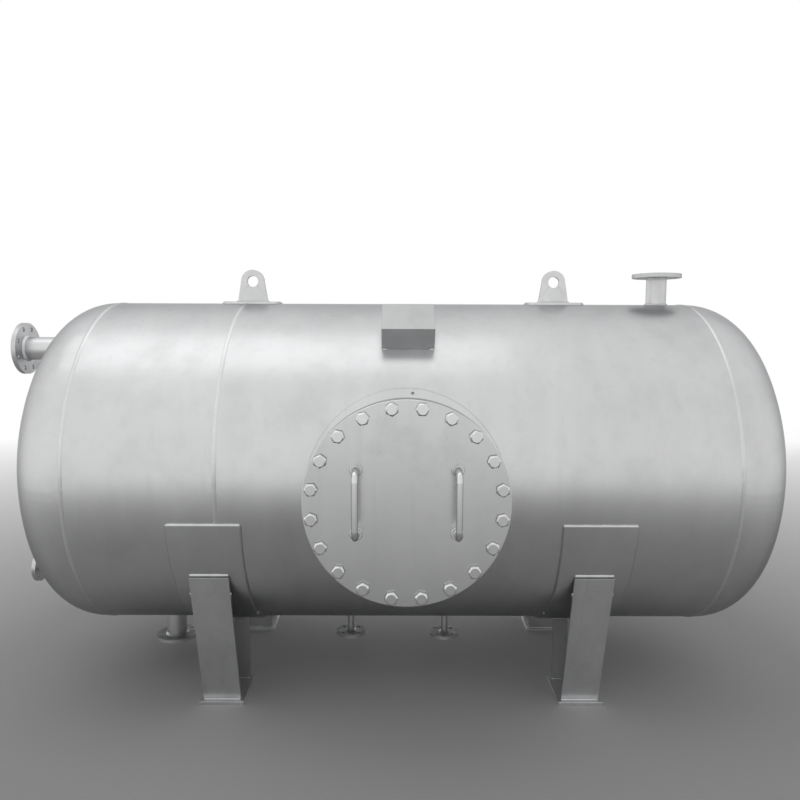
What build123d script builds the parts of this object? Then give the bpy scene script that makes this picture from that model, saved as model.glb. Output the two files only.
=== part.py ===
"""Horizontal pressure tank: two rolled courses, dished heads, a bolted manway, flanged nozzles
and two pairs of legs of I-section. Millimetres. +X runs along the tank, -Y is the manway side,
+Z is up. The origin is on the floor, midway between the four anchor bolt holes."""

from build123d import *
from math import asin, cos, degrees, radians, sin, sqrt
import os

# Vessel
outer_radius = 608.0
wall = 8.0
axis_height = 815.0
shell_length = 2162.0
course_joint_x = -595.0
head_straight = 20.0
dish_radius = 973.0
knuckle_radius = 187.0
weld_bead_width = 14.0
weld_bead_height = 2.2

# Manway on the front of the tank
manway_x = 12.0
manway_neck_radius = 240.0
manway_neck_wall = 10.0
manway_flange_radius = 307.5
manway_flange_thickness = 28.0
manway_cover_thickness = 28.0
manway_cover_chamfer = 1.5
manway_gasket_thickness = 3.0
gasket_gap_to_bolts = 4.0
gasket_gap_to_bore = 2.0
manway_bolt_circle_radius = 282.5
manway_bolt_count = 20
manway_bolt_hole_radius = 13.0
manway_face_reach = 790.0
manway_pad_radius = 318.0
manway_pad_thickness = 8.0
tell_tale_radius = 5.0
tell_tale_across = 21.0
tell_tale_up = 303.0

# Lifting handles on the manway cover
handle_offset = 148.0
handle_span = 190.0
handle_up = 8.0
handle_bar_radius = 9.5
handle_stand_off = 62.0
handle_bend_radius = 26.0
handle_foot_radius = 17.0
handle_foot_thickness = 5.0

# Saddle pads and the legs under them, whose sizes along Y are at the front of the tank
saddle_offset = 636.0
saddle_pad_width = 236.0
saddle_pad_thickness = 8.0
saddle_pad_half_angle = 79.0
leg_half_angle = 60.0
leg_width = 132.0
leg_plate = 10.0
leg_face_foot_y = 385.0
leg_back_y = 229.0
foot_width = 160.0
foot_thickness = 12.0
foot_front_y = 415.0
foot_back_y = 215.0
anchor_hole_radius = 11.0
anchor_hole_y = 315.0
anchor_hole_from_web = 38.0

# Lifting lugs
lug_left_x = -583.0
lug_right_x = 592.0
lug_thickness = 20.0
lug_hole_radius = 21.5
lug_hole_height = 86.0
lug_head_radius = 45.0
lug_base_half = 56.0
lug_shoulder_height = 20.0
lug_pad_length = 210.0
lug_pad_width = 120.0
lug_pad_thickness = 8.0
lug_pad_corner_radius = 20.0

# Nameplate bracket
bracket_x = 19.0
bracket_width = 178.0
bracket_height = 145.0
bracket_stand_off = 80.0
bracket_plate = 5.0
bracket_angle = 53.5

LEFT = -1
RIGHT = 1
half_shell = shell_length / 2
tangent_line_x = half_shell + head_straight
inner_radius = outer_radius - wall
dish_half_angle = asin((outer_radius - knuckle_radius) / (dish_radius - knuckle_radius))
head_depth = dish_radius - (dish_radius - knuckle_radius) * cos(dish_half_angle)
axis_plane = Plane(origin=(0, 0, axis_height), x_dir=(0, 1, 0), z_dir=(1, 0, 0))

os.makedirs("parts", exist_ok=True)


class Nozzle:
    """The sizes of one flanged nozzle: a pipe with a slip-on flange."""

    def __init__(self, name, pipe_radius, pipe_wall, flange_radius, flange_thickness,
                 bolt_circle_radius, bolt_count, bolt_hole_radius, raised_face_radius):
        self.name = name
        self.pipe_radius = pipe_radius
        self.bore_radius = pipe_radius - pipe_wall
        self.flange_radius = flange_radius
        self.flange_thickness = flange_thickness
        self.bolt_circle_radius = bolt_circle_radius
        self.bolt_count = bolt_count
        self.bolt_hole_radius = bolt_hole_radius
        self.raised_face_radius = raised_face_radius


raised_face_height = 3.0
pipe_recess = 5.0
fillet_weld_leg = 7.0

top_nozzle = Nozzle("top_nozzle", 38.0, 4.5, 92.5, 18.0, 72.5, 4, 9.0, 59.0)
end_nozzle_upper = Nozzle("end_nozzle_upper", 44.5, 5.0, 100.0, 20.0, 80.0, 8, 9.0, 66.0)
end_nozzle_lower = Nozzle("end_nozzle_lower", 16.0, 3.5, 57.5, 18.0, 42.5, 4, 7.0, 34.0)
bottom_nozzle = Nozzle("bottom_nozzle", 38.0, 4.5, 80.0, 16.0, 65.0, 4, 7.0, 55.0)
drain_left = Nozzle("drain_left", 13.5, 3.0, 57.5, 18.0, 42.5, 4, 7.0, 34.0)
drain_right = Nozzle("drain_right", 13.5, 3.0, 57.5, 18.0, 42.5, 4, 7.0, 34.0)

top_nozzle_x = 996.0
top_nozzle_reach = 730.0
bottom_nozzle_x = -915.0
bottom_nozzle_reach = 744.0
drain_left_x = -204.0
drain_right_x = 178.0
drain_left_reach = 733.0
drain_right_reach = 738.0
end_nozzle_upper_z = 430.0
end_nozzle_upper_reach = 391.0
end_nozzle_lower_z = -452.0
end_nozzle_lower_reach = 374.0
end_nozzle_upper_x = -tangent_line_x - end_nozzle_upper_reach
end_nozzle_lower_x = -tangent_line_x - end_nozzle_lower_reach


def nozzle_plane(face_point, outward):
    """A plane on a nozzle's sealing face, its normal pointing out of the tank."""
    side = (0, 1, 0) if abs(outward[1]) < 0.5 else (1, 0, 0)
    return Plane(origin=face_point, x_dir=side, z_dir=outward)


nozzle_places = [
    (top_nozzle, nozzle_plane((top_nozzle_x, 0, axis_height + top_nozzle_reach), (0, 0, 1))),
    (bottom_nozzle,
     nozzle_plane((bottom_nozzle_x, 0, axis_height - bottom_nozzle_reach), (0, 0, -1))),
    (drain_left, nozzle_plane((drain_left_x, 0, axis_height - drain_left_reach), (0, 0, -1))),
    (drain_right, nozzle_plane((drain_right_x, 0, axis_height - drain_right_reach), (0, 0, -1))),
    (end_nozzle_upper,
     nozzle_plane((end_nozzle_upper_x, 0, axis_height + end_nozzle_upper_z), (-1, 0, 0))),
    (end_nozzle_lower,
     nozzle_plane((end_nozzle_lower_x, 0, axis_height + end_nozzle_lower_z), (-1, 0, 0))),
]
nozzle_cut_depth = outer_radius


def save(solid, label):
    """Names a finished piece and writes it to its own file."""
    solid.label = label
    export_step(solid, f"parts/{label}.step")


def cut_nozzle_holes(names):
    """Cuts the holes that the named nozzles' pipes pass through, out of the piece being built."""
    for nozzle, place in nozzle_places:
        if nozzle.name in names:
            with BuildSketch(place) as hole:
                Circle(nozzle.pipe_radius)
            extrude(hole.sketch, amount=-nozzle_cut_depth, mode=Mode.SUBTRACT)


def course(start_x, end_x):
    """One rolled course of the shell, as a tube about the tank's axis."""
    with BuildSketch(axis_plane.offset(start_x)) as ring:
        Circle(outer_radius)
        Circle(inner_radius, mode=Mode.SUBTRACT)
    extrude(ring.sketch, amount=end_x - start_x)


manway_plane = Plane(origin=(manway_x, -manway_face_reach, axis_height),
                     x_dir=(1, 0, 0), z_dir=(0, -1, 0))

with BuildPart() as short_course:
    course(-half_shell, course_joint_x)
    cut_nozzle_holes(["bottom_nozzle"])
save(short_course.part, "shell_short_course")

with BuildPart() as long_course:
    course(course_joint_x, half_shell)
    cut_nozzle_holes(["top_nozzle", "drain_left", "drain_right"])
    with BuildSketch(manway_plane):
        Circle(manway_neck_radius)
    extrude(amount=-manway_face_reach, mode=Mode.SUBTRACT)
save(long_course.part, "shell_long_course")


def head_profile(inset=0.0):
    """Half of a dished head: straight flange, knuckle and dish, closed along the tank's axis."""
    radius = outer_radius - inset
    with BuildLine() as outline:
        Polyline((half_shell, 0), (half_shell, radius), (tangent_line_x, radius))
        knuckle = JernArc((tangent_line_x, radius), (1, 0), knuckle_radius - inset,
                          degrees(dish_half_angle) - 90)
        JernArc(knuckle @ 1, knuckle % 1, dish_radius - inset, -degrees(dish_half_angle))
        Line((tangent_line_x + head_depth - inset, 0), (half_shell, 0))
    make_face(outline.edges())


side_plane = Plane(origin=(0, 0, axis_height), x_dir=(1, 0, 0), z_dir=(0, -1, 0))
tank_axis = Axis((0, 0, axis_height), (1, 0, 0))

with BuildPart() as plain_head:
    with BuildSketch(side_plane):
        head_profile()
    revolve(axis=tank_axis)
    with BuildSketch(side_plane):
        head_profile(wall)
    revolve(axis=tank_axis, mode=Mode.SUBTRACT)

with BuildPart() as right_head:
    add(plain_head.part)
    cut_nozzle_holes(["top_nozzle"])
save(right_head.part, "head_right")

with BuildPart() as left_head:
    add(plain_head.part.mirror(Plane.YZ))
    cut_nozzle_holes(["end_nozzle_upper", "end_nozzle_lower"])
save(left_head.part, "head_left")


def vessel_outside(extra=0.0):
    """The cylinder of the shell's outside, grown by a pad's thickness, used for fitting pieces."""
    return Solid.make_cylinder(outer_radius + extra, shell_length,
                               axis_plane.offset(-half_shell))


def flange_ring(place, radius, bore, thickness, face_radius, circle_radius, count, hole_radius):
    """A flange whose sealing face lies on the plane, with its bolt holes between the centre lines."""
    with BuildSketch(place.offset(-raised_face_height)) as disc:
        Circle(radius)
    extrude(disc.sketch, amount=-(thickness - raised_face_height))
    with BuildSketch(place.offset(-raised_face_height)) as face:
        Circle(face_radius)
    extrude(face.sketch, amount=raised_face_height)
    with BuildSketch(place) as holes:
        Circle(bore)
        with PolarLocations(circle_radius, count, start_angle=180 / count):
            Circle(hole_radius)
    extrude(holes.sketch, amount=-thickness, mode=Mode.SUBTRACT)


# The manway: neck, flange, gasket, blind cover and the pad around the neck
cover_back = manway_plane.offset(-manway_cover_thickness)
gasket_back = cover_back.offset(-manway_gasket_thickness)
neck_end = gasket_back.offset(-pipe_recess)

with BuildPart() as manway_neck:
    with BuildSketch(neck_end):
        Circle(manway_neck_radius)
        Circle(manway_neck_radius - manway_neck_wall, mode=Mode.SUBTRACT)
    extrude(amount=-(manway_face_reach - outer_radius * 0.75))
    add(vessel_outside(-wall), mode=Mode.SUBTRACT)
    weld_face = gasket_back.offset(-manway_flange_thickness)
    with BuildSketch(weld_face):
        Circle(manway_neck_radius + fillet_weld_leg)
    with BuildSketch(weld_face.offset(-fillet_weld_leg)):
        Circle(manway_neck_radius)
    loft()
    with BuildSketch(weld_face):
        Circle(manway_neck_radius - manway_neck_wall)
    extrude(amount=-fillet_weld_leg, mode=Mode.SUBTRACT)
save(manway_neck.part, "manway_neck")


def manway_holes(place, depth):
    """The ring of bolt holes, drilled through a flange or the cover."""
    with BuildSketch(place) as ring:
        with PolarLocations(manway_bolt_circle_radius, manway_bolt_count,
                            start_angle=180 / manway_bolt_count):
            Circle(manway_bolt_hole_radius)
    extrude(ring.sketch, amount=-depth, mode=Mode.SUBTRACT)


with BuildPart() as manway_flange:
    with BuildSketch(gasket_back):
        Circle(manway_flange_radius)
        Circle(manway_neck_radius, mode=Mode.SUBTRACT)
    extrude(amount=-manway_flange_thickness)
    manway_holes(gasket_back, manway_flange_thickness)
save(manway_flange.part, "manway_flange")

with BuildPart() as manway_gasket:
    with BuildSketch(cover_back):
        Circle(manway_bolt_circle_radius - manway_bolt_hole_radius - gasket_gap_to_bolts)
        Circle(manway_neck_radius + gasket_gap_to_bore, mode=Mode.SUBTRACT)
    extrude(amount=-manway_gasket_thickness)
save(manway_gasket.part, "manway_gasket")

with BuildPart() as manway_cover:
    with BuildSketch(manway_plane):
        Circle(manway_flange_radius)
    extrude(amount=-manway_cover_thickness)
    manway_holes(manway_plane, manway_cover_thickness)
    rims = manway_cover.edges().filter_by(GeomType.CIRCLE).group_by(SortBy.RADIUS)[-1]
    chamfer(rims, manway_cover_chamfer)
save(manway_cover.part, "manway_cover")

with BuildPart() as manway_pad:
    with BuildSketch(manway_plane):
        Circle(manway_pad_radius)
        Circle(manway_neck_radius, mode=Mode.SUBTRACT)
        with Locations((tell_tale_across, tell_tale_up)):
            Circle(tell_tale_radius, mode=Mode.SUBTRACT)
    extrude(amount=-manway_face_reach)
    add(vessel_outside(manway_pad_thickness), mode=Mode.INTERSECT)
    add(vessel_outside(), mode=Mode.SUBTRACT)
save(manway_pad.part, "manway_pad")


def cover_handle(side):
    """A bent round bar that stands off the cover, on two small welded feet."""
    place = manway_plane.offset(handle_foot_thickness)
    x = side * handle_offset
    half = handle_span / 2
    with BuildPart() as handle:
        with BuildLine(Plane(place.from_local_coords(Vector(x, handle_up, 0)),
                             x_dir=(0, 0, 1), z_dir=(1, 0, 0))) as route:
            FilletPolyline((-half, 0), (-half, handle_stand_off), (half, handle_stand_off),
                           (half, 0), radius=handle_bend_radius)
        with BuildSketch(Plane(route.line @ 0, z_dir=route.line % 0)):
            Circle(handle_bar_radius)
        sweep()
        for end in (-half, half):
            with BuildSketch(manway_plane):
                with Locations((x, handle_up + end)):
                    Circle(handle_foot_radius)
            extrude(amount=handle_foot_thickness)
    return handle.part


save(cover_handle(LEFT), "cover_handle_left")
save(cover_handle(RIGHT), "cover_handle_right")


def nozzle_pieces(nozzle, place, trim):
    """Writes a nozzle's pipe, trimmed to the inside of the tank, and its slip-on flange."""
    pipe_length = nozzle_cut_depth
    with BuildPart() as pipe:
        with BuildSketch(place.offset(-pipe_recess)):
            Circle(nozzle.pipe_radius)
            Circle(nozzle.bore_radius, mode=Mode.SUBTRACT)
        extrude(amount=-(pipe_length - pipe_recess))
        add(trim, mode=Mode.SUBTRACT)
        weld_face = place.offset(-nozzle.flange_thickness)
        with BuildSketch(weld_face):
            Circle(nozzle.pipe_radius + fillet_weld_leg)
        with BuildSketch(weld_face.offset(-fillet_weld_leg)):
            Circle(nozzle.pipe_radius)
        loft()
        with BuildSketch(weld_face):
            Circle(nozzle.bore_radius)
        extrude(amount=-fillet_weld_leg, mode=Mode.SUBTRACT)
    save(pipe.part, nozzle.name)
    with BuildPart() as flange:
        flange_ring(place, nozzle.flange_radius, nozzle.pipe_radius, nozzle.flange_thickness,
                    nozzle.raised_face_radius, nozzle.bolt_circle_radius, nozzle.bolt_count,
                    nozzle.bolt_hole_radius)
    save(flange.part, nozzle.name + "_flange")


with BuildPart() as vessel_inside:
    with BuildSketch(side_plane):
        head_profile(wall)
    revolve(axis=tank_axis)
    mirror(about=Plane.YZ)
    add(vessel_outside(-wall))

for one_nozzle, one_place in nozzle_places:
    nozzle_pieces(one_nozzle, one_place, vessel_inside.part)


# Saddle pads and the legs under them
pad_radius = outer_radius + saddle_pad_thickness


def saddle_side_sketch():
    """The sector below the tank that a saddle pad covers, seen along the tank."""
    reach = 2 * pad_radius
    across = reach * sin(radians(saddle_pad_half_angle))
    down = reach * cos(radians(saddle_pad_half_angle))
    with BuildLine() as outline:
        Polyline((0, 0), (-across, -down), (-across, -reach), (across, -reach), (across, -down),
                 close=True)
    make_face(outline.edges())


def saddle_pad(side):
    """The curved plate between the shell and a pair of legs."""
    start = axis_plane.offset(side * saddle_offset - saddle_pad_width / 2)
    with BuildPart() as pad:
        with BuildSketch(start):
            Circle(pad_radius)
            Circle(outer_radius, mode=Mode.SUBTRACT)
        extrude(amount=saddle_pad_width)
        with BuildSketch(start):
            saddle_side_sketch()
        extrude(amount=saddle_pad_width, mode=Mode.INTERSECT)
    return pad.part


# The outer plate's inner side runs from the foot up to the pad, where its top is cut level
horn_y = pad_radius * sin(radians(leg_half_angle))
horn_z = axis_height - pad_radius * cos(radians(leg_half_angle))
face_rise = horn_z - foot_thickness
face_length = sqrt((horn_y - leg_face_foot_y) ** 2 + face_rise ** 2)
face_thickness_y = leg_plate * face_length / face_rise


def leg_plate_along_tank(side, outline, width):
    """A plate under the pad, drawn in side view and extruded about the leg's middle."""
    with BuildPart() as plate:
        with BuildSketch(Plane.YZ.offset(side * saddle_offset - width / 2)):
            with BuildLine():
                Polyline(*outline, close=True)
            make_face()
        extrude(amount=width)
        add(vessel_outside(saddle_pad_thickness), mode=Mode.SUBTRACT)
    return plate.part


def front_and_back(piece):
    """The front piece and its mirror image behind the tank, as one node."""
    return Compound(children=[piece, piece.mirror(Plane.XZ)])


def leg_faces(side):
    """The inclined outer plates of a pair of legs."""
    outline = [(-leg_face_foot_y, foot_thickness), (-horn_y, horn_z),
               (-horn_y - face_thickness_y, horn_z),
               (-leg_face_foot_y - face_thickness_y, foot_thickness)]
    return front_and_back(leg_plate_along_tank(side, outline, leg_width))


def leg_sides(side):
    """The web of each leg, seen from the side between the outer plate and the back plate."""
    back = leg_back_y + leg_plate
    outline = [(-leg_face_foot_y, foot_thickness), (-horn_y, horn_z), (-back, horn_z),
               (-back, foot_thickness)]
    return front_and_back(leg_plate_along_tank(side, outline, leg_plate))


def leg_backs(side):
    """The upright plates that close the legs towards the middle of the tank."""
    outline = [(-leg_back_y, foot_thickness), (-leg_back_y, horn_z),
               (-leg_back_y - leg_plate, horn_z), (-leg_back_y - leg_plate, foot_thickness)]
    return front_and_back(leg_plate_along_tank(side, outline, leg_width))


def feet(side):
    """The base plates under a pair of legs, each with an anchor bolt hole outboard of the web."""
    with BuildPart() as foot:
        with BuildSketch():
            with Locations((side * saddle_offset, -(foot_front_y + foot_back_y) / 2)):
                Rectangle(foot_width, foot_front_y - foot_back_y)
            with Locations((side * (saddle_offset + anchor_hole_from_web), -anchor_hole_y)):
                Circle(anchor_hole_radius, mode=Mode.SUBTRACT)
        extrude(amount=foot_thickness)
    return front_and_back(foot.part)


pads_over_welds = []
for side_name, side_sign in (("left", LEFT), ("right", RIGHT)):
    this_pad = saddle_pad(side_sign)
    pads_over_welds.append(this_pad)
    save(this_pad, f"saddle_pad_{side_name}")
    save(leg_faces(side_sign), f"leg_faces_{side_name}")
    save(leg_sides(side_sign), f"leg_sides_{side_name}")
    save(leg_backs(side_sign), f"leg_backs_{side_name}")
    save(feet(side_sign), f"feet_{side_name}")


# Lifting lugs and the pads that they stand on
crown_z = axis_height + outer_radius


def lug_pad(x):
    """A curved pad on the crown of the shell."""
    with BuildPart() as pad:
        with BuildSketch(Plane.XY.offset(axis_height)):
            with Locations((x, 0)):
                RectangleRounded(lug_pad_length, lug_pad_width, lug_pad_corner_radius)
        extrude(amount=2 * outer_radius)
        add(vessel_outside(lug_pad_thickness), mode=Mode.INTERSECT)
        add(vessel_outside(), mode=Mode.SUBTRACT)
    return pad.part


def lifting_lug(x):
    """An upright lug plate with a round head about its shackle hole."""
    centre = (x, crown_z + lug_hole_height)
    shoulder_z = crown_z + lug_shoulder_height
    with BuildPart() as lug:
        with BuildSketch(Plane.XZ.offset(-lug_thickness / 2)):
            with Locations(centre):
                Circle(lug_head_radius)
            with BuildLine():
                Polyline((x - lug_base_half, axis_height), (x - lug_base_half, shoulder_z),
                         (x - lug_head_radius, centre[1]), (x + lug_head_radius, centre[1]),
                         (x + lug_base_half, shoulder_z), (x + lug_base_half, axis_height),
                         close=True)
            make_face()
            with Locations(centre):
                Circle(lug_hole_radius, mode=Mode.SUBTRACT)
        extrude(amount=lug_thickness)
        add(vessel_outside(lug_pad_thickness), mode=Mode.SUBTRACT)
    return lug.part


for side_name, lug_x in (("left", lug_left_x), ("right", lug_right_x)):
    this_pad = lug_pad(lug_x)
    pads_over_welds.append(this_pad)
    save(this_pad, f"lug_pad_{side_name}")
    save(lifting_lug(lug_x), f"lifting_lug_{side_name}")

# The nameplate bracket: a plate bent to a U, open at both ends, its face parallel to the shell
bracket_plane = Plane(
    origin=(bracket_x,
            -(outer_radius + bracket_stand_off) * cos(radians(bracket_angle)),
            axis_height + (outer_radius + bracket_stand_off) * sin(radians(bracket_angle))),
    x_dir=(1, 0, 0),
    z_dir=(0, -cos(radians(bracket_angle)), sin(radians(bracket_angle))))
with BuildPart() as nameplate_bracket:
    with BuildSketch(bracket_plane):
        Rectangle(bracket_width, bracket_height)
    extrude(amount=-2.5 * bracket_stand_off)
    with BuildSketch(bracket_plane.offset(-bracket_plate)):
        Rectangle(2 * bracket_width, bracket_height - 2 * bracket_plate)
    extrude(amount=-2.5 * bracket_stand_off, mode=Mode.SUBTRACT)
    add(vessel_outside(), mode=Mode.SUBTRACT)
save(nameplate_bracket.part, "nameplate_bracket")

# The weld beads around the tank, ground away where a pad lies over them
with BuildPart() as girth_welds:
    for joint_x in (-half_shell, course_joint_x, half_shell):
        with BuildSketch(side_plane):
            with BuildLine():
                left_toe = (joint_x - weld_bead_width / 2, outer_radius)
                right_toe = (joint_x + weld_bead_width / 2, outer_radius)
                ThreePointArc(left_toe, (joint_x, outer_radius + weld_bead_height), right_toe)
                Line(right_toe, left_toe)
            make_face()
        revolve(axis=tank_axis)
    for pad in pads_over_welds:
        add(pad, mode=Mode.SUBTRACT)
save(girth_welds.part, "girth_welds")
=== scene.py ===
from math import cos, hypot, pi, radians, sin, sqrt

import bmesh
import bpy
from mathutils import Matrix, Vector


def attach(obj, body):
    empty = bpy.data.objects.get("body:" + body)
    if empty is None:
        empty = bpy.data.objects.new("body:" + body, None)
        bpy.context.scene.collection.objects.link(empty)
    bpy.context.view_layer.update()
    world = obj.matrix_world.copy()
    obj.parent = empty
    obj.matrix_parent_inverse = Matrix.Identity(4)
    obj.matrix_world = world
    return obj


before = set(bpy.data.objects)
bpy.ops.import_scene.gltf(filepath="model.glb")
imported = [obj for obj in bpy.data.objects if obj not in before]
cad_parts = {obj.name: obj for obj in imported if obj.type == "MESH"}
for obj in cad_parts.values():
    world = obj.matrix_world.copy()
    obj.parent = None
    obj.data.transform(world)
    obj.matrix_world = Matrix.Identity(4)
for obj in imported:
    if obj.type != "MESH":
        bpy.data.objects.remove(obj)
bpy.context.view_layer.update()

# Sizes of the tank, in metres
axis_height = 0.815
shell_radius = 0.608
pad_radius = 0.616
head_start = 1.101
dish_radius = 0.973
knuckle_radius = 0.187
manway_x = 0.012
manway_face_y = -0.790
manway_flange_back_y = -0.731
manway_neck_radius = 0.240
manway_pad_edge = 0.318
bolt_circle_radius = 0.2825
bolt_count = 20
bolt_radius = 0.012
bolt_end = -0.093
thread_start = -0.0705
thread_pitch = 0.003
thread_root_radius = bolt_radius * 0.89
shank_start = -0.072
shank_end = 0.0005
washer_radius = 0.0172
washer_thickness = 0.0012
bolt_head_flats = 0.036
bolt_head_circle_radius = bolt_head_flats * 0.41
bolt_head_height = 0.0148
bolt_head_chamfer = 0.0045
nut_corner_radius = 0.0208
nut_height = 0.019
nut_outer_face = -0.078
handle_offset = 0.148
handle_half_span = 0.095
handle_up = 0.008
handle_bar_radius = 0.0095
handle_foot_radius = 0.017
handle_foot_thickness = 0.005
shell_nozzles = {
    "top_nozzle": {"x": 0.996, "pipe": 0.038, "side": "top"},
    "bottom_nozzle": {"x": -0.915, "pipe": 0.038, "side": "bottom"},
    "drain_left": {"x": -0.204, "pipe": 0.0135, "side": "bottom"},
    "drain_right": {"x": 0.178, "pipe": 0.0135, "side": "bottom"},
}
head_nozzles = {
    "end_nozzle_upper": {"up": 0.430, "pipe": 0.0445, "fillet": 0.006},
    "end_nozzle_lower": {"up": -0.452, "pipe": 0.0160, "fillet": 0.005},
}
lug_places = {"left": -0.583, "right": 0.592}
lug_half_thickness = 0.010
lug_half_base = 0.056
lug_pad_half_length = 0.105
lug_pad_half_width = 0.060
lug_pad_corner = 0.020
bracket_x = 0.019
bracket_half_width = 0.089
bracket_half_height = 0.0725
bracket_angle = radians(53.5)
saddle_offset = 0.636
saddle_half_width = 0.118
saddle_half_angle = radians(79)
leg_half_width = 0.066
leg_plate = 0.010
leg_foot_y = 0.385
leg_horn_angle = radians(60)
leg_back_y = 0.229
foot_top = 0.012
leg_horn_y = pad_radius * sin(leg_horn_angle)
leg_horn_z = axis_height - pad_radius * cos(leg_horn_angle)

# Radii of the weld fillets
fillets = {
    "manway_pad": 0.0036, "manway_neck": 0.008, "shell_nozzle": 0.0055,
    "handle_bar": 0.0030, "handle_foot": 0.0026,
    "saddle_pad": 0.0048, "saddle_pad_end": 0.0070, "saddle_pad_tack": 0.0085,
    "lug_pad": 0.0052, "lug": 0.0055, "bracket_tack": 0.0045,
    "leg_web": 0.0048, "leg_tack": 0.005,
}
weld_overlap = 0.001
same_point = 1e-6

# The silver's share of red, green and blue, and the tones of its edges and its dirt; the darkest
# of these also paints shade on low level faces
silver_tint = (0.995, 1.0, 1.008)
edge_tone = 0.5
dust_and_shade_tone = 0.16
grime_shade = 0.6


# Shader building blocks

def node_group(name, inputs, outputs):
    """A shader node group with named sockets, and the nodes that stand for its two ends."""
    group = bpy.data.node_groups.new(name, "ShaderNodeTree")
    for label, kind, value in inputs:
        socket = group.interface.new_socket(label, in_out="INPUT", socket_type=kind)
        if value is not None:
            socket.default_value = value
    for label, kind in outputs:
        group.interface.new_socket(label, in_out="OUTPUT", socket_type=kind)
    return group, group.nodes.new("NodeGroupInput"), group.nodes.new("NodeGroupOutput")


def noise(tree, place, scale, detail=3.0, roughness=0.55):
    node = tree.nodes.new("ShaderNodeTexNoise")
    node.inputs["Scale"].default_value = scale
    node.inputs["Detail"].default_value = detail
    node.inputs["Roughness"].default_value = roughness
    tree.links.new(place, node.inputs["Vector"])
    return node.outputs["Fac"]


def mapped(tree, place, location=(0, 0, 0), rotation=(0, 0, 0), scale=(1, 1, 1)):
    """Coordinates that are moved, turned and stretched before a pattern reads them."""
    node = tree.nodes.new("ShaderNodeMapping")
    node.inputs["Location"].default_value = location
    node.inputs["Rotation"].default_value = rotation
    node.inputs["Scale"].default_value = scale
    tree.links.new(place, node.inputs["Vector"])
    return node.outputs["Vector"]


def remap(tree, value, low, high, to_low=0.0, to_high=1.0, smooth=False):
    node = tree.nodes.new("ShaderNodeMapRange")
    if smooth:
        node.interpolation_type = "SMOOTHSTEP"
    node.inputs["From Min"].default_value = low
    node.inputs["From Max"].default_value = high
    node.inputs["To Min"].default_value = to_low
    node.inputs["To Max"].default_value = to_high
    tree.links.new(value, node.inputs["Value"])
    return node.outputs["Result"]


def arithmetic(tree, operation, first, second=0.0):
    node = tree.nodes.new("ShaderNodeMath")
    node.operation = operation
    for socket, value in zip(node.inputs, (first, second)):
        if isinstance(value, (int, float)):
            socket.default_value = value
        else:
            tree.links.new(value, socket)
    return node.outputs[0]


def vector_math(tree, operation, vector):
    node = tree.nodes.new("ShaderNodeVectorMath")
    node.operation = operation
    tree.links.new(vector, node.inputs[0])
    return node.outputs


def split_xyz(tree, vector):
    node = tree.nodes.new("ShaderNodeSeparateXYZ")
    tree.links.new(vector, node.inputs[0])
    return node.outputs["X"], node.outputs["Y"], node.outputs["Z"]


def blend_colours(tree, factor, first, second):
    node = tree.nodes.new("ShaderNodeMix")
    node.data_type = "RGBA"
    tree.links.new(factor, node.inputs[0])
    for socket, value in ((node.inputs[6], first), (node.inputs[7], second)):
        if isinstance(value, (tuple, list)):
            socket.default_value = value
        else:
            tree.links.new(value, socket)
    return node.outputs[2]


def grey(value):
    """A grey of the silver's slightly cool tint."""
    return (*(value * share for share in silver_tint), 1.0)


def make_spray_group():
    """Sprayed silver paint: soft cloudy patches, passes of the gun, fine flake and orange peel."""
    group, start, end = node_group(
        "spray_coat",
        [("Place", "NodeSocketVector", None), ("Base Tone", "NodeSocketFloat", 0.66),
         ("Cloud", "NodeSocketFloat", 0.06), ("Speckle", "NodeSocketFloat", 0.05),
         ("Base Roughness", "NodeSocketFloat", 0.32)],
        [("Color", "NodeSocketColor"), ("Roughness", "NodeSocketFloat"),
         ("Height", "NodeSocketFloat")])
    place = start.outputs["Place"]
    clouds = remap(group, noise(group, place, 2.2, 4.0), 0.3, 0.7, -1.0, 1.0)
    passes = remap(group, noise(group, mapped(group, place, scale=(5.0, 1.3, 1.3)), 2.0, 2.0),
                   0.3, 0.7, -1.0, 1.0)
    speckle = remap(group, noise(group, place, 900.0, 2.0), 0.3, 0.7, -1.0, 1.0)
    broad = arithmetic(group, "MULTIPLY", arithmetic(group, "ADD", clouds, passes),
                       start.outputs["Cloud"])
    fine = arithmetic(group, "MULTIPLY", speckle, start.outputs["Speckle"])
    tone = arithmetic(group, "MULTIPLY", start.outputs["Base Tone"],
                      arithmetic(group, "ADD", 1.0, arithmetic(group, "ADD", broad, fine)))
    colour = group.nodes.new("ShaderNodeCombineColor")
    for channel, share in zip(("Red", "Green", "Blue"), silver_tint):
        group.links.new(arithmetic(group, "MULTIPLY", tone, share), colour.inputs[channel])
    group.links.new(colour.outputs["Color"], end.inputs["Color"])
    rough = arithmetic(group, "ADD", start.outputs["Base Roughness"],
                       arithmetic(group, "MULTIPLY", broad, 0.5))
    group.links.new(rough, end.inputs["Roughness"])
    group.links.new(noise(group, place, 240.0, 2.0), end.inputs["Height"])
    return group


def make_grime_group():
    """Dust and rain marks: a mask that gathers in patches and runs down in thin streaks."""
    group, start, end = node_group(
        "grime",
        [("Place", "NodeSocketVector", None), ("Amount", "NodeSocketFloat", 0.3)],
        [("Mask", "NodeSocketFloat")])
    place = start.outputs["Place"]
    patches = remap(group, noise(group, place, 7.0, 5.0, 0.65), 0.48, 0.78)
    streaks = remap(group, noise(group, mapped(group, place, scale=(30.0, 30.0, 1.6)), 1.0, 3.0),
                    0.55, 0.8, 0.0, 0.7)
    both = arithmetic(group, "MAXIMUM", patches, streaks)
    group.links.new(arithmetic(group, "MULTIPLY", both, start.outputs["Amount"]),
                    end.inputs["Mask"])
    return group


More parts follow.
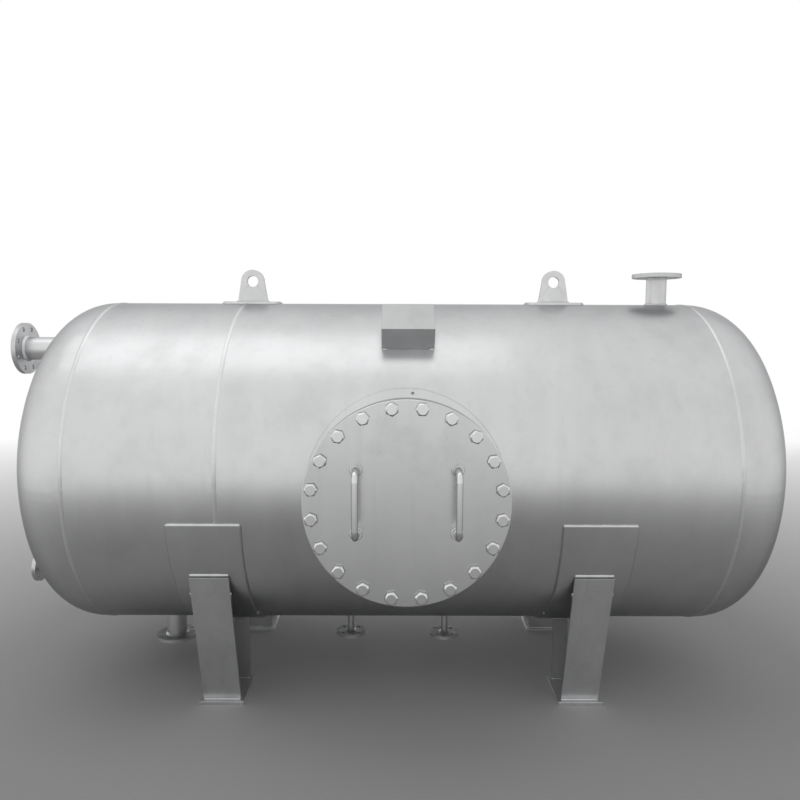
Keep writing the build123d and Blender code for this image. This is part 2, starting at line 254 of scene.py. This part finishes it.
def make_dust_and_shade_group():
    """Dust and painted shade: a dull, dark mask on level faces near the floor, where the tank's
    shade falls, thinner where it was brushed off.
    """
    group, start, end = node_group(
        "ledge_dust_and_shade",
        [("Place", "NodeSocketVector", None), ("Facing", "NodeSocketVector", None),
         ("Amount", "NodeSocketFloat", 0.6)],
        [("Mask", "NodeSocketFloat")])
    place = start.outputs["Place"]
    level = remap(group, split_xyz(group, start.outputs["Facing"])[2], 0.6, 0.95)
    low = remap(group, split_xyz(group, place)[2], 0.12, 0.55, 1.0, 0.0)
    patches = remap(group, noise(group, place, 25.0, 4.0, 0.6), 0.3, 0.6, 0.6, 1.0)
    dust_and_shade_mask = arithmetic(group, "MULTIPLY", arithmetic(group, "MULTIPLY", level, low), patches)
    group.links.new(arithmetic(group, "MULTIPLY", dust_and_shade_mask, start.outputs["Amount"]),
                    end.inputs["Mask"])
    return group


def make_lathe_group():
    """The fine rings that a lathe leaves, round the Z axis of the place that is put in."""
    group, start, end = node_group(
        "lathe_rings",
        [("Place", "NodeSocketVector", None), ("Pitch", "NodeSocketFloat", 0.0016)],
        [("Height", "NodeSocketFloat")])
    squares = [arithmetic(group, "POWER", part, 2.0)
               for part in split_xyz(group, start.outputs["Place"])[:2]]
    radius = arithmetic(group, "SQRT", arithmetic(group, "ADD", *squares))
    turns = arithmetic(group, "DIVIDE", radius, start.outputs["Pitch"])
    group.links.new(arithmetic(group, "PINGPONG", turns, 0.5), end.inputs["Height"])
    return group


def make_scales_group():
    """The scales of a weld run that goes round the tank's own axis."""
    group, start, end = node_group(
        "weld_scales",
        [("Place", "NodeSocketVector", None), ("Spacing", "NodeSocketFloat", 0.007)],
        [("Height", "NodeSocketFloat")])
    y, z = split_xyz(group, start.outputs["Place"])[1:]
    turn = arithmetic(group, "ARCTAN2", y, arithmetic(group, "SUBTRACT", z, axis_height))
    length = arithmetic(group, "MULTIPLY", turn, shell_radius)
    wander = arithmetic(group, "MULTIPLY", noise(group, start.outputs["Place"], 40.0), 0.012)
    along = arithmetic(group, "DIVIDE", arithmetic(group, "ADD", length, wander),
                       start.outputs["Spacing"])
    group.links.new(arithmetic(group, "FRACT", along), end.inputs["Height"])
    return group


spray_group = make_spray_group()
grime_group = make_grime_group()
dust_and_shade_group = make_dust_and_shade_group()
lathe_group = make_lathe_group()
scales_group = make_scales_group()


def placed_group(tree, group, links, **numbers):
    """A group in a material: some inputs are linked, others are plain numbers."""
    node = tree.nodes.new("ShaderNodeGroup")
    node.node_tree = group
    for label, output in links.items():
        tree.links.new(output, node.inputs[label])
    for label, number in numbers.items():
        node.inputs[label.replace("_", " ")].default_value = number
    return node.outputs


def add_bump(tree, height, strength, distance, under=None):
    node = tree.nodes.new("ShaderNodeBump")
    node.inputs["Strength"].default_value = strength
    node.inputs["Distance"].default_value = distance
    tree.links.new(height, node.inputs["Height"])
    if under is not None:
        tree.links.new(under, node.inputs["Normal"])
    return node.outputs["Normal"]


def new_material(name):
    """A material with its node tree and its Principled shader."""
    material = bpy.data.materials.new(name)
    material.use_nodes = True
    return material, material.node_tree, material.node_tree.nodes["Principled BSDF"]


def silver_paint(name, tone=0.67, roughness=0.32, cloud=0.05, speckle=0.05, peel=0.12,
                 grime=0.25, dust_and_shade_amount=0.8, scales=0.0, lathe=None):
    """The satin silver paint of the tank, over plain plate, weld scales or a turned face."""
    material, tree, shader = new_material(name)
    place = tree.nodes.new("ShaderNodeTexCoord").outputs["Object"]
    facing = tree.nodes.new("ShaderNodeNewGeometry").outputs["Normal"]
    at_place = {"Place": place}
    spray = placed_group(tree, spray_group, at_place, Base_Tone=tone, Cloud=cloud,
                         Speckle=speckle, Base_Roughness=roughness)
    dirt = placed_group(tree, grime_group, at_place, Amount=grime)["Mask"]
    # Level faces near the floor go dark: painted shade under the tank, with dirt
    dust_and_shade = placed_group(tree, dust_and_shade_group, {"Place": place, "Facing": facing},
                        Amount=dust_and_shade_amount)["Mask"]
    washed = blend_colours(tree, dirt, spray["Color"], grey(tone * grime_shade))
    tree.links.new(blend_colours(tree, dust_and_shade, washed, grey(dust_and_shade_tone)),
                   shader.inputs["Base Color"])
    dull = arithmetic(tree, "ADD", arithmetic(tree, "MULTIPLY", dirt, 0.25),
                      arithmetic(tree, "MULTIPLY", dust_and_shade, 0.3))
    tree.links.new(arithmetic(tree, "ADD", spray["Roughness"], dull),
                   shader.inputs["Roughness"])
    shader.inputs["Metallic"].default_value = 1.0
    shader.inputs["Specular Tint"].default_value = grey(edge_tone)
    normal = add_bump(tree, spray["Height"], peel, 0.0004)
    if scales:
        beads = placed_group(tree, scales_group, at_place)
        normal = add_bump(tree, beads["Height"], scales, 0.0008, normal)
    if lathe:
        location, rotation = lathe
        centred = mapped(tree, mapped(tree, place, location=location), rotation=rotation)
        rings = placed_group(tree, lathe_group, {"Place": centred})
        normal = add_bump(tree, rings["Height"], 0.5, 0.0003, normal)
    tree.links.new(normal, shader.inputs["Normal"])
    return material


def gasket_material():
    """Pressed fibre sheet, dark and dull."""
    material, tree, shader = new_material("gasket_fibre")
    place = tree.nodes.new("ShaderNodeTexCoord").outputs["Object"]
    fibres = remap(tree, noise(tree, place, 300.0, 4.0), 0.35, 0.65)
    tree.links.new(blend_colours(tree, fibres, grey(0.03), grey(0.07)),
                   shader.inputs["Base Color"])
    shader.inputs["Roughness"].default_value = 0.8
    return material


shell_paint = silver_paint("shell_silver_paint", roughness=0.30, cloud=0.03)
cover_paint = silver_paint("cover_silver_paint", tone=0.66, roughness=0.24, cloud=0.02)
fitting_paint = silver_paint("fitting_silver_paint", tone=0.72, roughness=0.36, cloud=0.05,
                             grime=0.3)
# A darker copy of the silver for the nameplate bracket: painted shade, so that its upward face
# shows darker under the overhead lamp
bracket_shaded_paint = silver_paint("bracket_silver_paint_shaded", tone=0.55, roughness=0.44, cloud=0.03,
                             grime=0.2)
leg_paint = silver_paint("leg_silver_paint", tone=0.70, roughness=0.40, cloud=0.06, grime=0.4,
                         dust_and_shade_amount=0.2)
# Darker copies of the leg's silver for the webs and back plates: painted shade, as these inner
# plates stand in the leg's own shade
web_shaded_paint = silver_paint("web_silver_paint_shaded", tone=0.56, roughness=0.42, cloud=0.06, grime=0.5,
                         dust_and_shade_amount=0.2)
back_plate_shaded_paint = silver_paint("back_plate_silver_paint_shaded", tone=0.48, roughness=0.44, cloud=0.06,
                                grime=0.5, dust_and_shade_amount=0.2)
weld_paint = silver_paint("weld_silver_paint", tone=0.66, roughness=0.34, peel=0.5, grime=0.2)
seam_paint = silver_paint("seam_silver_paint", tone=0.74, roughness=0.34, peel=0.3, grime=0.1,
                          scales=0.6)
bolt_paint = silver_paint("bolt_silver_paint", tone=0.72, roughness=0.20, cloud=0.03, grime=0.1)

# Paint by the name of a node, or by its name less the last word where it comes in a pair
node_paint = {
    "shell_short_course": shell_paint, "shell_long_course": shell_paint, "head": shell_paint,
    "manway_pad": shell_paint, "saddle_pad": shell_paint, "girth_welds": seam_paint,
    "manway_cover": cover_paint, "manway_gasket": gasket_material(), "cover_handle": bolt_paint,
    "nameplate_bracket": bracket_shaded_paint, "leg_faces": leg_paint, "feet": leg_paint,
    "leg_sides": web_shaded_paint, "leg_backs": back_plate_shaded_paint,
}

# Tone and roughness of the flanges by the side they stand on, and the turns of their rings; the
# flanges below the tank are painted lighter, painted light against the shade there
flange_looks_and_painted_light = {"top": (0.62, 0.36), "bottom": (0.66, 0.42), "end": (0.62, 0.36)}
upright = (0, 0, 0)
lying = (0, pi / 2, 0)


def paint_flange(nozzle_name, side, offset, rotation):
    """A turned face for a flange; the offset and the turn bring the nozzle's axis onto Z."""
    tone, roughness = flange_looks_and_painted_light[side]
    node_paint[nozzle_name + "_flange"] = silver_paint(
        nozzle_name + "_flange_paint", tone=tone, roughness=roughness, grime=0.3, dust_and_shade_amount=0.7,
        lathe=(offset, rotation))


for name, nozzle in shell_nozzles.items():
    paint_flange(name, nozzle["side"], (-nozzle["x"], 0, 0), upright)
for name, nozzle in head_nozzles.items():
    paint_flange(name, "end", (0, 0, -axis_height - nozzle["up"]), lying)


def dress_nodes():
    """Gives each CAD node its paint and smooth shading, and softens the edges of cut plates."""
    plates = ("leg_", "feet_", "lifting_lug_", "lug_pad_", "nameplate_bracket")
    for name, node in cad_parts.items():
        family = name.rsplit("_", 1)[0]
        paint = node_paint.get(name) or node_paint.get(family) or fitting_paint
        node.data.materials.clear()
        node.data.materials.append(paint)
        for face in node.data.polygons:
            face.use_smooth = True
        join = node.modifiers.new("join_facets", "WELD")
        join.merge_threshold = 0.00002
        if name.startswith(plates):
            soften = node.modifiers.new("soft_edges", "BEVEL")
            soften.width = 0.0012
            soften.segments = 3
            soften.limit_method = "ANGLE"
            soften.angle_limit = radians(40)
        split = node.modifiers.new("sharp_edges", "EDGE_SPLIT")
        split.split_angle = radians(30)
        split.use_edge_sharp = False
        if name.startswith(plates) or family == "head":
            even = node.modifiers.new("even_normals", "WEIGHTED_NORMAL")
            even.mode = "FACE_AREA"
            even.keep_sharp = False


dress_nodes()


# Making of the pieces

def finish_piece(name, shape, material, crease=None):
    """Turns a bmesh into a piece that rides on the tank, sharp at edges above the crease angle."""
    bmesh.ops.recalc_face_normals(shape, faces=shape.faces)
    mesh = bpy.data.meshes.new(name)
    shape.to_mesh(mesh)
    shape.free()
    for face in mesh.polygons:
        face.use_smooth = True
    mesh.materials.append(material)
    piece = bpy.data.objects.new(name, mesh)
    bpy.context.scene.collection.objects.link(piece)
    if crease:
        split = piece.modifiers.new("sharp_edges", "EDGE_SPLIT")
        split.split_angle = radians(crease)
        split.use_edge_sharp = False
    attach(piece, "root")


def extrude_up(shape, faces, height):
    """Extrudes flat faces along Z and returns the new top faces."""
    made = bmesh.ops.extrude_face_region(shape, geom=faces)["geom"]
    points = [item for item in made if isinstance(item, bmesh.types.BMVert)]
    bmesh.ops.translate(shape, verts=points, vec=(0, 0, height))
    return [item for item in made if isinstance(item, bmesh.types.BMFace)]


def prism(shape, sides, radius, base, height, rim=0.0, turn=0.0):
    """A straight prism standing on a level, with its top's rim bevelled if it has one."""
    made = bmesh.ops.create_circle(shape, cap_ends=True, segments=sides, radius=radius,
                                   matrix=Matrix.Translation((0, 0, base))
                                   @ Matrix.Rotation(turn, 4, "Z"))
    bottom = made["verts"][0].link_faces[0]
    top = extrude_up(shape, [bottom], height)[0]
    if rim:
        bmesh.ops.bevel(shape, geom=list(top.edges), offset=rim, offset_type="OFFSET",
                        affect="EDGES", segments=1, profile=0.5, material=-1,
                        clamp_overlap=True)
    return top


def bolt_head(shape, turn):
    """A hexagon head whose corners are turned down to a circle at its outer face."""
    top = prism(shape, 6, bolt_head_flats / 2 / cos(pi / 6), washer_thickness,
                bolt_head_height - bolt_head_chamfer, turn=turn)
    rim = list(top.edges)
    bmesh.ops.delete(shape, geom=[top], context="FACES_ONLY")
    outer_face = Matrix.Translation((0, 0, washer_thickness + bolt_head_height))
    circle = bmesh.ops.create_circle(shape, cap_ends=True, segments=18,
                                     radius=bolt_head_circle_radius,
                                     matrix=outer_face @ Matrix.Rotation(turn, 4, "Z"))
    outer = list(circle["verts"][0].link_faces[0].edges)
    bmesh.ops.bridge_loops(shape, edges=rim + outer)


def bolt_thread(shape):
    """The end of a bolt's thread: a zigzag profile spun round the bolt's axis."""
    points = [shape.verts.new((0, 0, bolt_end))]
    for step in range(round((thread_start - bolt_end) / thread_pitch)):
        foot = bolt_end + step * thread_pitch
        points.append(shape.verts.new((thread_root_radius, 0, foot)))
        points.append(shape.verts.new((bolt_radius, 0, foot + thread_pitch / 2)))
    points.append(shape.verts.new((thread_root_radius, 0, thread_start)))
    points.append(shape.verts.new((0, 0, thread_start)))
    edges = [shape.edges.new(pair) for pair in zip(points, points[1:])]
    bmesh.ops.spin(shape, geom=points + edges, cent=(0, 0, 0), axis=(0, 0, 1), angle=2 * pi,
                   steps=18, use_merge=True)
    bmesh.ops.remove_doubles(shape, verts=shape.verts, dist=same_point)


def manway_bolts():
    """Twenty bolts through cover and flange; heads and nuts stand at odd angles, as tightened."""
    shape = bmesh.new()
    for number in range(bolt_count):
        one = bmesh.new()
        bolt_thread(one)
        prism(one, 24, washer_radius, 0.0, washer_thickness)
        bolt_head(one, turn=radians(number * 37 % 60))
        prism(one, 16, bolt_radius, shank_start, shank_end - shank_start)
        prism(one, 6, nut_corner_radius, nut_outer_face, nut_height, rim=0.0012,
              turn=radians(number * 23 % 60))
        angle = 2 * pi * (number + 0.5) / bolt_count
        place = (Matrix.Translation((manway_x + bolt_circle_radius * cos(angle), manway_face_y,
                                     axis_height + bolt_circle_radius * sin(angle)))
                 @ Matrix.Rotation(pi / 2, 4, "X"))
        bmesh.ops.transform(one, matrix=place, verts=one.verts)
        mesh = bpy.data.meshes.new("one_bolt")
        one.to_mesh(mesh)
        one.free()
        shape.from_mesh(mesh)
        bpy.data.meshes.remove(mesh)
    finish_piece("manway_bolts", shape, bolt_paint, crease=25)


manway_bolts()


# Welds

def even_steps(points, closed, spacing):
    """Points at even steps along a path of straight lines."""
    corners = [Vector(point) for point in points]
    if closed:
        corners.append(corners[0])
    lengths = [(b - a).length for a, b in zip(corners, corners[1:])]
    count = max(2, round(sum(lengths) / spacing))
    steps = []
    for number in range(count if closed else count + 1):
        to_go = sum(lengths) * number / count
        for a, b, length in zip(corners, corners[1:], lengths):
            if to_go <= length or b is corners[-1]:
                steps.append(a.lerp(b, min(1.0, to_go / length)))
                break
            to_go -= length
    return steps


def weld(name, runs, spacing=0.0035):
    """Rounded fillets of weld metal; a run is its path, whether it is closed, and its radius."""
    line = bpy.data.curves.new(name + "_path", "CURVE")
    line.dimensions = "3D"
    line.bevel_depth = 1.0
    line.bevel_resolution = 1
    line.use_fill_caps = True
    for points, closed, radius in runs:
        steps = even_steps(points, closed, spacing)
        run = line.splines.new("POLY")
        run.points.add(len(steps) - 1)
        for number, (knot, point) in enumerate(zip(run.points, steps)):
            ripple = 0.84 if number % 2 else 1.0
            wander = 0.06 * sin(number * 0.37)
            knot.co = (*point, 1.0)
            knot.radius = radius * (ripple + wander)
        run.use_cyclic_u = closed
    carrier = bpy.data.objects.new(name + "_path", line)
    bpy.context.scene.collection.objects.link(carrier)
    bpy.context.view_layer.update()
    mesh = bpy.data.meshes.new_from_object(carrier)
    bpy.data.objects.remove(carrier)
    shape = bmesh.new()
    shape.from_mesh(mesh)
    bpy.data.meshes.remove(mesh)
    bmesh.ops.remove_doubles(shape, verts=shape.verts, dist=same_point)
    finish_piece(name, shape, weld_paint)


def on_shell(x, across, side, reach=shell_radius):
    """A point on the shell, a distance off its centre plane, above, below or in front."""
    out = sqrt(reach ** 2 - across ** 2)
    if side == "front":
        return (x, -out, axis_height + across)
    return (x, across, axis_height + (out if side == "top" else -out))


def ring_on_shell(x, radius, side, reach=shell_radius, count=72):
    """The line where a round pipe or pad meets the shell."""
    turns = [2 * pi * step / count for step in range(count)]
    return [on_shell(x + radius * cos(turn), radius * sin(turn), side, reach) for turn in turns]


def ring_on_face(x, y, z, radius, count=48):
    """A circle on an upright face that looks to the front."""
    turns = [2 * pi * step / count for step in range(count)]
    return [(x + radius * cos(turn), y, z + radius * sin(turn)) for turn in turns]


def head_x(off_axis):
    """How far the left head reaches, at a distance off the tank's axis."""
    knuckle_centre = shell_radius - knuckle_radius
    dish_centre = sqrt((dish_radius - knuckle_radius) ** 2 - knuckle_centre ** 2) - head_start
    dish_edge = knuckle_centre * dish_radius / (dish_radius - knuckle_radius)
    if off_axis < dish_edge:
        return dish_centre - sqrt(dish_radius ** 2 - off_axis ** 2)
    return -head_start - sqrt(knuckle_radius ** 2 - (off_axis - knuckle_centre) ** 2)


def ring_on_head(up, radius, count=48):
    """The line where a pipe along the tank meets the left head."""
    ring = []
    for step in range(count):
        turn = 2 * pi * step / count
        y, z = radius * cos(turn), up + radius * sin(turn)
        ring.append((head_x(hypot(y, z)), y, axis_height + z))
    return ring


weld("manway_pad_weld",
     [(ring_on_shell(manway_x, manway_pad_edge - weld_overlap, "front"), True,
       fillets["manway_pad"])])
weld("manway_neck_weld",
     [(ring_on_shell(manway_x, manway_neck_radius + weld_overlap, "front", pad_radius),
       True, fillets["manway_neck"]),
      (ring_on_face(manway_x, manway_flange_back_y + 2 * weld_overlap, axis_height,
                    manway_neck_radius + 2 * weld_overlap, count=72),
       True, fillets["manway_neck"])])
for name, nozzle in shell_nozzles.items():
    ring = ring_on_shell(nozzle["x"], nozzle["pipe"] + weld_overlap, nozzle["side"], count=48)
    weld(name + "_weld", [(ring, True, fillets["shell_nozzle"])])
for name, nozzle in head_nozzles.items():
    ring = ring_on_head(nozzle["up"], nozzle["pipe"] + weld_overlap)
    weld(name + "_weld", [(ring, True, nozzle["fillet"])])


def handle_welds():
    """Small fillets round the feet of the two handles and round the bar on each foot."""
    runs = []
    for side in (-1, 1):
        for end in (-1, 1):
            x = manway_x + side * handle_offset
            z = axis_height + handle_up + end * handle_half_span
            runs.append((ring_on_face(x, manway_face_y - handle_foot_thickness, z,
                                      handle_bar_radius + 0.0008), True, fillets["handle_bar"]))
            runs.append((ring_on_face(x, manway_face_y, z, handle_foot_radius + 0.0005), True,
                         fillets["handle_foot"]))
    weld("handle_welds", runs, spacing=0.0025)


handle_welds()


def saddle_pad_weld(name, side):
    """The fillet round the edge of a saddle pad, heavier along its two ends, and two tacks."""
    left = side * saddle_offset - saddle_half_width
    right = side * saddle_offset + saddle_half_width
    reach = shell_radius + weld_overlap
    half_steps = 30
    tack_steps = (17, 43)
    angles = [saddle_half_angle * (step / half_steps - 1) for step in range(2 * half_steps + 1)]
    sweep = [(reach * sin(angle), axis_height - reach * cos(angle)) for angle in angles]
    path = [(left, y, z) for y, z in sweep] + [(right, y, z) for y, z in reversed(sweep)]
    runs = [(path, True, fillets["saddle_pad"])]
    for y, z in (sweep[0], sweep[-1]):
        runs.append(([(left, y, z), (right, y, z)], False, fillets["saddle_pad_end"]))
    inner = right if side < 0 else left
    for step in tack_steps:
        runs.append(([(inner, y, z) for y, z in sweep[step:step + 2]], False,
                     fillets["saddle_pad_tack"]))
    weld(name, runs)


saddle_pad_weld("saddle_pad_weld_left", -1)
saddle_pad_weld("saddle_pad_weld_right", 1)


def rounded_outline(half_length, half_width, corner):
    """A rectangle with rounded corners, as flat points round the origin."""
    outline = []
    corner_steps = 6
    for number, (side_x, side_y) in enumerate(((1, 1), (-1, 1), (-1, -1), (1, -1))):
        for step in range(corner_steps + 1):
            turn = (number + step / corner_steps) * pi / 2
            outline.append((side_x * (half_length - corner) + corner * cos(turn),
                            side_y * (half_width - corner) + corner * sin(turn)))
    return outline


def lug_welds(name, x):
    """The fillets round a lug's pad and round the foot of the lug itself."""
    pad = [on_shell(x + along, across, "top", shell_radius + weld_overlap)
           for along, across in rounded_outline(lug_pad_half_length, lug_pad_half_width,
                                                lug_pad_corner)]
    foot = [on_shell(x + along, across, "top", pad_radius)
            for along, across in rounded_outline(lug_half_base + weld_overlap,
                                                 lug_half_thickness + weld_overlap, 0.003)]
    weld(name + "_pad_weld", [(pad, True, fillets["lug_pad"])])
    weld(name + "_weld", [(foot, True, fillets["lug"])])


for side_name, lug_x in lug_places.items():
    lug_welds("lifting_lug_" + side_name, lug_x)


def bracket_welds():
    """Short tacks at the ends of both bent sides of the nameplate's bracket."""
    out = Vector((0, -cos(bracket_angle), sin(bracket_angle)))
    up = Vector((0, sin(bracket_angle), cos(bracket_angle)))
    across = bracket_half_height + weld_overlap
    tack_offset = bracket_half_width - 0.010
    half_tack = Vector((0.007, 0, 0))
    runs = []
    for end in (-1, 1):
        foot = (Vector((bracket_x, 0, axis_height)) + end * across * up
                + sqrt(shell_radius ** 2 - across ** 2) * out)
        for middle in (-tack_offset, tack_offset):
            place = foot + Vector((middle, 0, 0))
            runs.append(([place - half_tack, place + half_tack], False,
                         fillets["bracket_tack"]))
    weld("bracket_tack_welds", runs)


bracket_welds()


def under_pad(across):
    """The height of a saddle pad's underside, at a distance off the tank's centre plane."""
    return axis_height - sqrt(pad_radius ** 2 - across ** 2)


def leg_weld_paths():
    """The welded corners of a leg, off its middle, the tank's centre plane and the floor."""
    lean = (leg_horn_y - leg_foot_y) / (leg_horn_z - foot_top)
    face_y = leg_foot_y + leg_plate * sqrt(1 + lean ** 2)
    ledge_y = leg_horn_y + 0.003
    back_outer = leg_back_y + leg_plate
    web = leg_plate / 2 + 0.002
    wide = leg_half_width - 0.002

    # Across the leg: distance off the centre plane, height and radius of each line
    across_leg = [(ledge_y, under_pad(ledge_y) + 0.002, 0.0075),
                  (leg_horn_y - 0.006, under_pad(leg_horn_y - 0.006), 0.005),
                  (face_y, foot_top, 0.004), (leg_foot_y, foot_top, 0.0045),
                  (back_outer, foot_top, 0.0045), (leg_back_y, foot_top, 0.0045),
                  (back_outer, under_pad(back_outer), 0.005),
                  (leg_back_y, under_pad(leg_back_y), 0.005)]
    paths = [([(-wide, y, z), (wide, y, z)], radius) for y, z, radius in across_leg]

    # Tacks beside the outer plate, just under the pad
    tack_z = leg_horn_z - 0.058
    tack_y = leg_foot_y + (tack_z - foot_top) * lean + leg_plate / 2
    for along in (-leg_half_width, leg_half_width):
        paths.append(([(along, tack_y, tack_z), (along, tack_y - 0.004, tack_z - 0.014)],
                      fillets["leg_tack"]))

    # Both sides of the web: outer plate, back plate, foot and pad
    pad_steps = [back_outer + (leg_horn_y - 0.01 - back_outer) * step / 12 for step in range(13)]
    for along in (-web, web):
        lines = [[(along, leg_foot_y - 0.002, foot_top),
                  (along, leg_horn_y - 0.008, leg_horn_z - 0.012)],
                 [(along, back_outer + 0.002, foot_top),
                  (along, back_outer + 0.002, under_pad(back_outer))],
                 [(along, back_outer, foot_top), (along, leg_foot_y, foot_top)],
                 [(along, y, under_pad(y)) for y in pad_steps]]
        paths.extend((line, fillets["leg_web"]) for line in lines)
    return paths


def leg_welds():
    """The welds of all four legs, one leg's paths moved and mirrored."""
    paths = leg_weld_paths()
    for side_name, side in (("left", -1), ("right", 1)):
        for end_name, front in (("front", -1), ("back", 1)):
            runs = [([(side * saddle_offset + along, front * across, up)
                      for along, across, up in path], False, radius) for path, radius in paths]
            weld(f"leg_welds_{end_name}_{side_name}", runs, spacing=0.004)


leg_welds()


# Floor, light and camera

def make_studio_group():
    """The tone of the studio in a direction: white, and a little less at the right front."""
    group, start, end = node_group(
        "studio_tone", [("Direction", "NodeSocketVector", None)], [("Tone", "NodeSocketFloat")])
    x, y = split_xyz(group, start.outputs["Direction"])[:2]
    lit = remap(group, x, -0.5, 0.5, 1.0, 0.90, smooth=True)
    behind = remap(group, y, 0.5, 0.8, smooth=True)
    group.links.new(arithmetic(group, "MAXIMUM", lit, behind), end.inputs["Tone"])
    return group


studio_group = make_studio_group()


def seen_rays(tree):
    """One for the rays that see the backdrop: straight, in a reflection or through glass."""
    path = tree.nodes.new("ShaderNodeLightPath")
    return arithmetic(tree, "MAXIMUM", path.outputs["Is Camera Ray"],
                      arithmetic(tree, "MAXIMUM", path.outputs["Is Glossy Ray"],
                                 path.outputs["Is Transmission Ray"]))


def mix_shaders(tree, factor, first, second):
    mix = tree.nodes.new("ShaderNodeMixShader")
    tree.links.new(factor, mix.inputs[0])
    tree.links.new(first, mix.inputs[1])
    tree.links.new(second, mix.inputs[2])
    return mix.outputs[0]


def pale_floor():
    """A pale floor that runs out into the tone of the backdrop, so no horizon shows."""
    bpy.ops.mesh.primitive_plane_add(size=60)
    floor = bpy.context.object
    floor.name = "floor"
    material, tree, shader = new_material("floor_pale")
    shader.inputs["Base Color"].default_value = (0.62, 0.62, 0.62, 1)
    shader.inputs["Roughness"].default_value = 0.9
    shader.inputs["Specular IOR Level"].default_value = 0.1
    place = tree.nodes.new("ShaderNodeTexCoord").outputs["Object"]
    fade_start, fade_end = 1.6, 7.5
    far = remap(tree, vector_math(tree, "LENGTH", place)["Value"], fade_start, fade_end)
    outward = vector_math(tree, "NORMALIZE", place)["Vector"]
    glow = tree.nodes.new("ShaderNodeEmission")
    glow.inputs["Color"].default_value = (1, 1, 1, 1)
    tree.links.new(placed_group(tree, studio_group, {"Direction": outward})["Tone"],
                   glow.inputs["Strength"])
    mixed = mix_shaders(tree, arithmetic(tree, "MULTIPLY", far, seen_rays(tree)),
                        shader.outputs[0], glow.outputs[0])
    tree.links.new(mixed, tree.nodes["Material Output"].inputs["Surface"])
    floor.data.materials.append(material)


pale_floor()


def studio_world():
    """The backdrop's tone for all rays that see it, and a plain dimmer level for its light."""
    world = bpy.data.worlds.new("studio")
    bpy.context.scene.world = world
    world.use_nodes = True
    tree = world.node_tree
    tree.nodes.clear()
    direction = tree.nodes.new("ShaderNodeTexCoord").outputs["Generated"]
    backdrop = tree.nodes.new("ShaderNodeBackground")
    backdrop.inputs["Color"].default_value = (1, 1, 1, 1)
    tree.links.new(placed_group(tree, studio_group, {"Direction": direction})["Tone"],
                   backdrop.inputs["Strength"])
    light = tree.nodes.new("ShaderNodeBackground")
    light.inputs["Color"].default_value = (1, 1, 1, 1)
    light.inputs["Strength"].default_value = 0.35
    out = tree.nodes.new("ShaderNodeOutputWorld")
    tree.links.new(mix_shaders(tree, seen_rays(tree), light.outputs[0], backdrop.outputs[0]),
                   out.inputs[0])


studio_world()


def overhead_softbox():
    """A wide lamp over the left half of the tank that shines straight down."""
    lamp = bpy.data.lights.new("overhead_softbox", "AREA")
    lamp.shape = "RECTANGLE"
    lamp.size = 5.0
    lamp.size_y = 2.3
    lamp.energy = 15.5
    box = bpy.data.objects.new("overhead_softbox", lamp)
    bpy.context.scene.collection.objects.link(box)
    box.location = (-1.7, -0.55, 5.0)
    box.visible_camera = False


overhead_softbox()


def photo_camera():
    """The camera at the photograph's place, near the crown's height and looking down a little."""
    camera = bpy.data.cameras.new("camera")
    camera.sensor_width = 36
    camera.lens = 32.2
    camera.clip_end = 200
    holder = bpy.data.objects.new("camera", camera)
    bpy.context.scene.collection.objects.link(holder)
    yaw, pitch, roll = 0.0028, 0.0955, 0.0035
    forward = Vector((sin(yaw) * cos(pitch), cos(yaw) * cos(pitch), -sin(pitch)))
    right = Vector((cos(yaw), -sin(yaw), 0))
    up = right.cross(forward)
    across = cos(roll) * right + sin(roll) * up
    upward = -sin(roll) * right + cos(roll) * up
    turn = Matrix((across, upward, -forward)).transposed()
    holder.rotation_mode = "QUATERNION"
    holder.rotation_quaternion = turn.to_quaternion()
    holder.location = (-0.0145, -2.832, axis_height + 0.5015)
    bpy.context.scene.camera = holder


photo_camera()
bpy.context.scene.view_settings.view_transform = "Standard"
